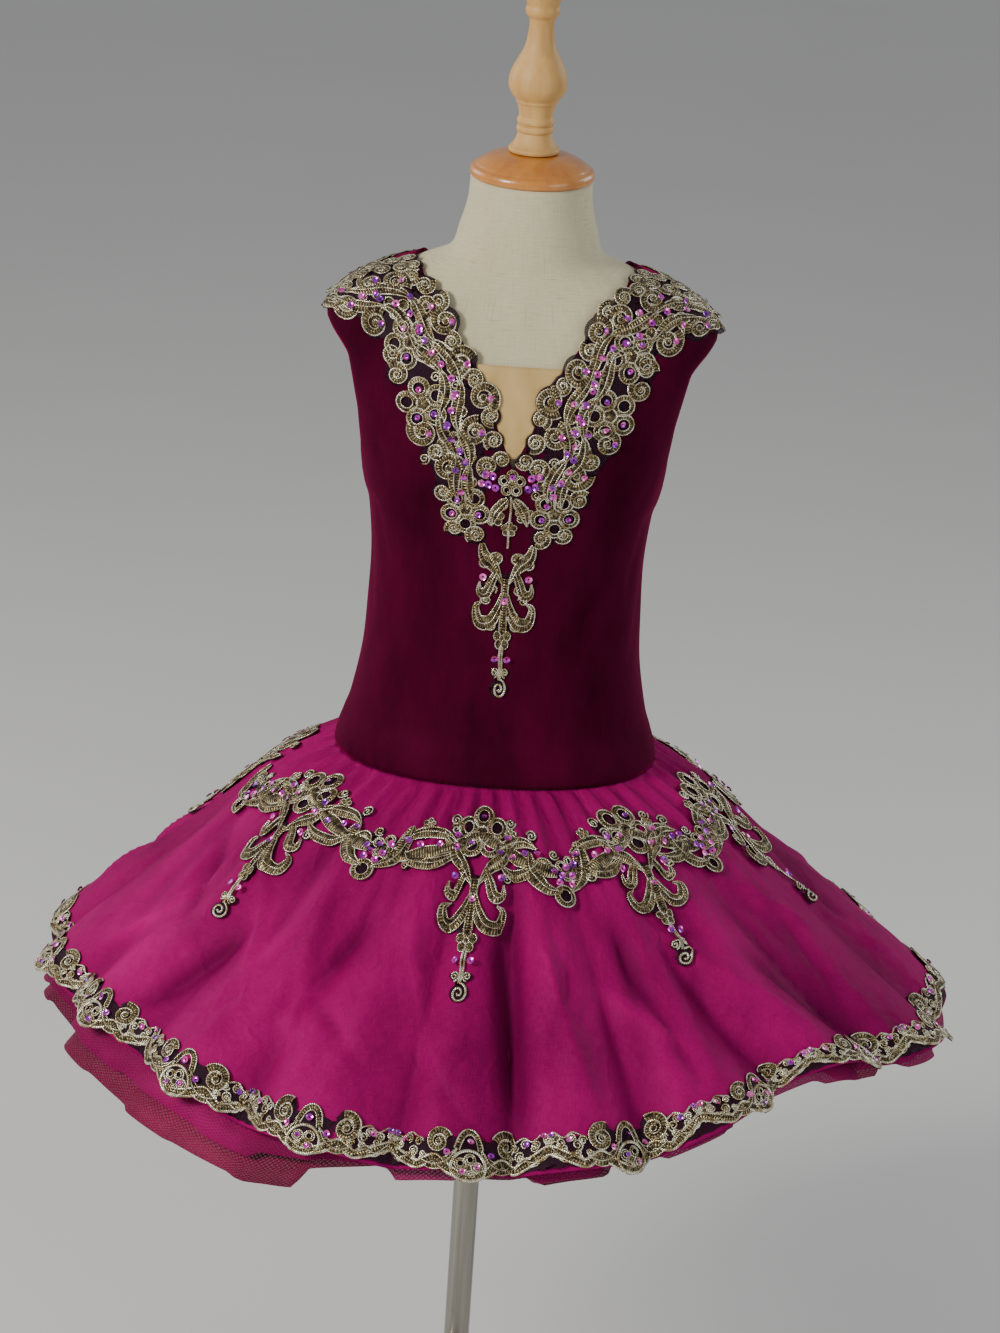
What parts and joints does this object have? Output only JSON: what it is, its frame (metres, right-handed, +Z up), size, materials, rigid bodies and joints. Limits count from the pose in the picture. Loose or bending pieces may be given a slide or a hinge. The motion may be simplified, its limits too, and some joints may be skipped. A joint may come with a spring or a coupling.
{
  "type": "ballet tutu dress on a limbless dress form with its stand",
  "caption": "Child's ballet dress: velvet bodice with V neck, bell skirt over net layers, corded lace at neck, skirt and hem, standing on a limbless linen dress form on a pole and round base",
  "frame": {"origin": "on the floor under the middle of the round base", "axes": "+Z up along the pole, the front of the dress faces -Y, +X is to the right in the picture"},
  "size_m": [0.6542, 0.6111, 1.1651],
  "materials": {
    "velvet": "velvet",
    "gauze": "matte",
    "net": "matte",
    "nude_mesh": "matte",
    "lace": "metallic thread",
    "linen": "matte",
    "pale_wood": "oiled",
    "cap_wood": "varnished",
    "steel": "polished"
  },
  "bodies": {
    "root": {"form_torso": "linen", "neck_cap": "cap_wood", "finial": "pale_wood", "base": "steel", "pole_lower": "steel", "pole_upper": "steel", "pole_collar": "steel", "bodice_front": "velvet", "bodice_back": "velvet", "neck_insert": "nude_mesh", "skirt_over": "gauze", "skirt_net_upper": "net", "skirt_net_lower": "net", "lace_neck_left": "lace", "lace_neck_right": "lace", "lace_neck_back": "lace", "lace_pendant": "lace", "lace_garland_front": "lace", "lace_garland_back": "lace", "lace_hem_front": "lace", "lace_hem_back": "lace"}
  },
  "joints": []
}
